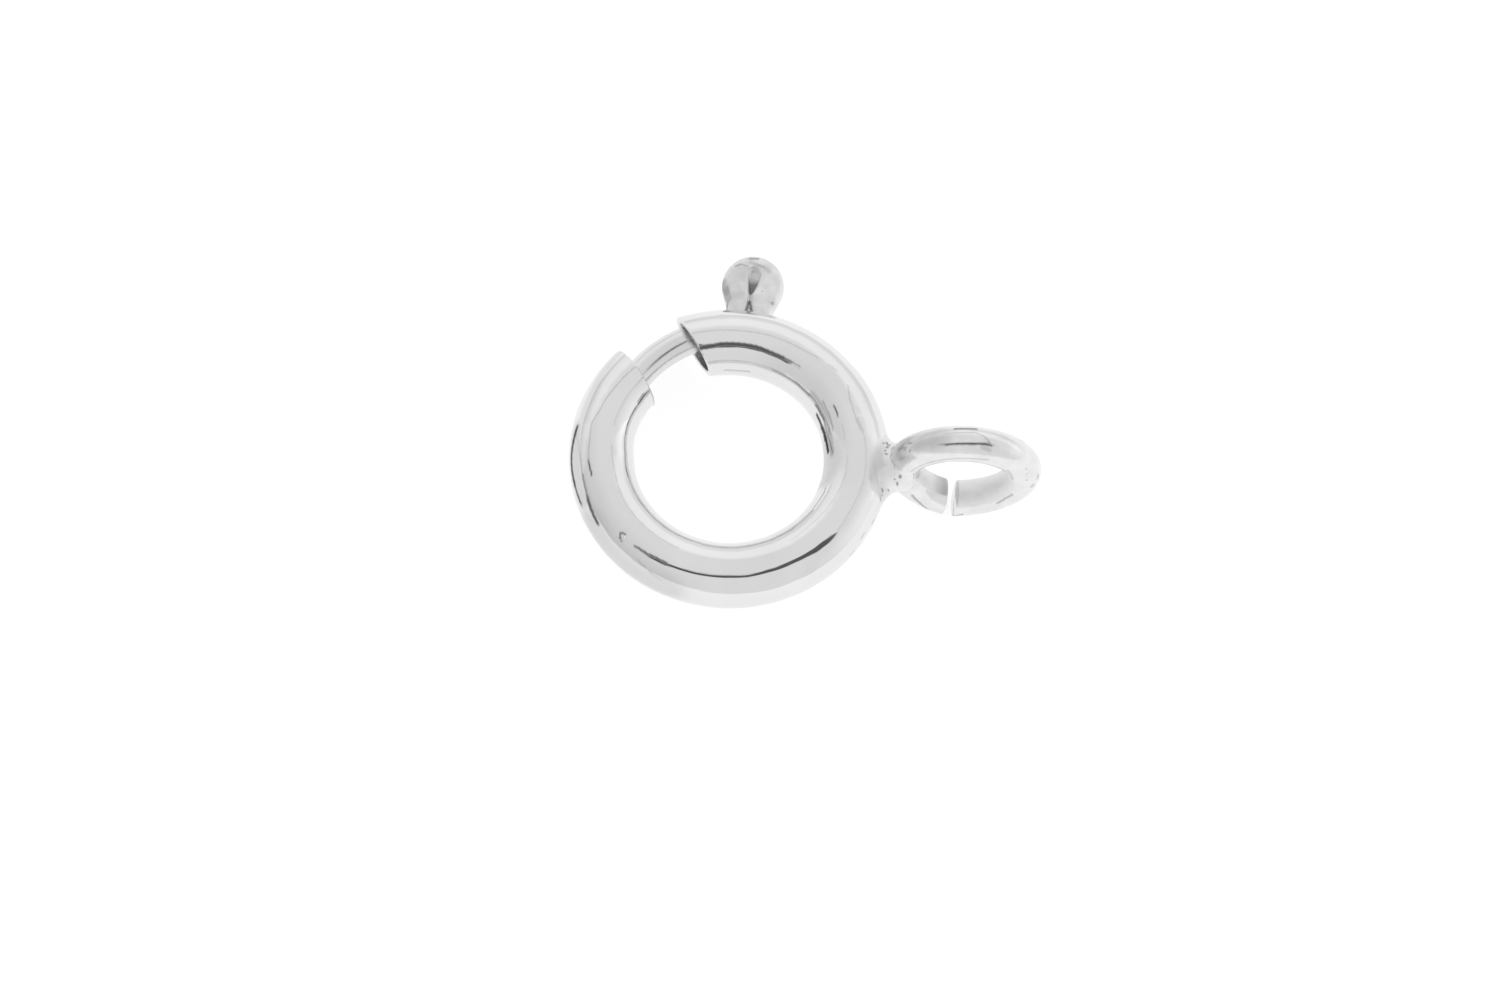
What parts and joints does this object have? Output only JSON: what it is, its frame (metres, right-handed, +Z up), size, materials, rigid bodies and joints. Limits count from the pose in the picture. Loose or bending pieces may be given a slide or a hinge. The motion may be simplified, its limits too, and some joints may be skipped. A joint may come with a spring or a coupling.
{
  "type": "spring ring clasp",
  "caption": "Spring ring clasp: a hollow C-shaped ring closed by a sprung wire tongue with a thumb knob, with a small open jump ring soldered on.",
  "frame": {"origin": "middle of the bounding box's base, on the surface that the clasp lies on", "axes": "+X from the main ring towards the jump ring, +Y towards the side of the thumb knob, +Z up. The clasp lies on its side as it rests by itself, so the main ring's axis leans 7.17 degrees from +Z towards -X."},
  "size_m": [0.0088, 0.0072, 0.0029],
  "materials": {
    "silver_case": "polished silver",
    "silver_tongue": "polished silver, slightly drawn",
    "spring_steel": "bright drawn wire"
  },
  "bodies": {
    "case": {"case": "silver_case", "spring": "spring_steel"},
    "tongue": {"tongue": "silver_tongue"}
  },
  "joints": [
    {"name": "tongue_turn", "type": "hinge", "parent": "case", "child": "tongue", "pos_m": [-0.00141, -0.00056, 0.00091], "axis": [-0.1248, 0, 0.9922], "range_deg": [-40, 0], "stiffness_Nm_per_rad": 0.003, "springref_deg": 20.05, "deforming": ["spring"]}
  ]
}
